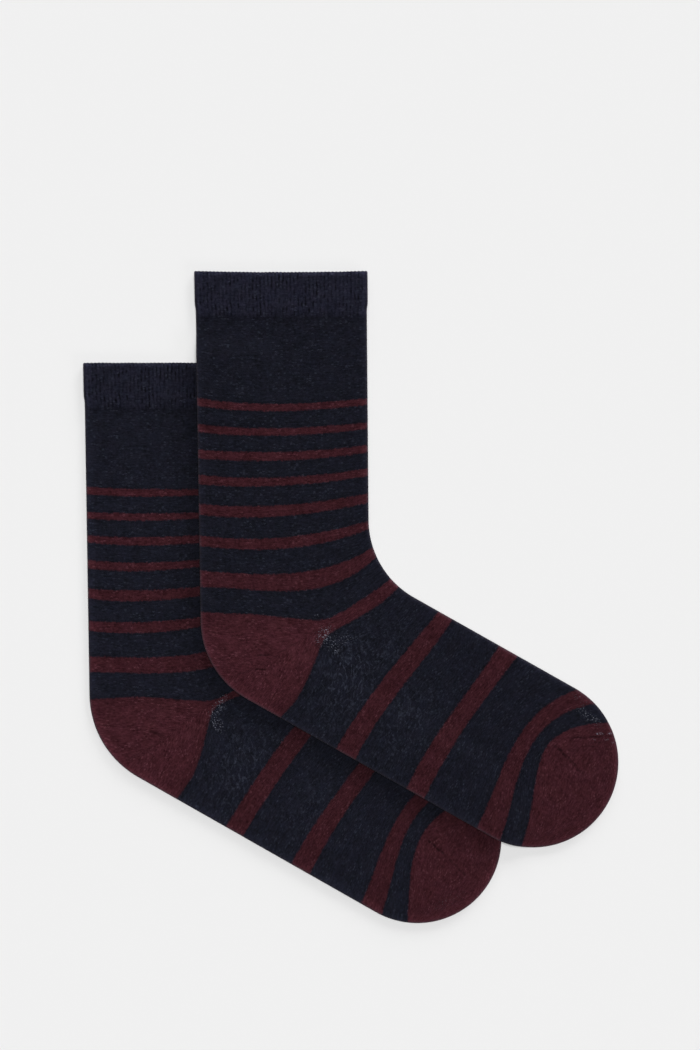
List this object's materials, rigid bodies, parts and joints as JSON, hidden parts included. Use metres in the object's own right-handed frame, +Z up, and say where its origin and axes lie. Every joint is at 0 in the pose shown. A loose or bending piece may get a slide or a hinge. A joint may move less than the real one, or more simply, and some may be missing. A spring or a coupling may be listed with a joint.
{
  "type": "pair of crew socks",
  "caption": "Striped knitted crew socks with contrast heel and toe, laid flat in profile with one overlapping the other.",
  "frame": {"origin": "on the surface the socks lie on, under the middle of the pair's bounding box", "axes": "+X towards the toes, +Y towards the cuffs, +Z up from the surface"},
  "size_m": [0.2776, 0.3387, 0.0071],
  "materials": {
    "lower_knit": "fine-gauge heathered cotton knit, navy with burgundy stripes, heel and toe",
    "upper_knit": "fine-gauge heathered cotton knit, navy with burgundy stripes, heel and toe"
  },
  "bodies": {
    "root": {"lower_sock": "lower_knit", "upper_sock": "upper_knit"}
  },
  "joints": []
}
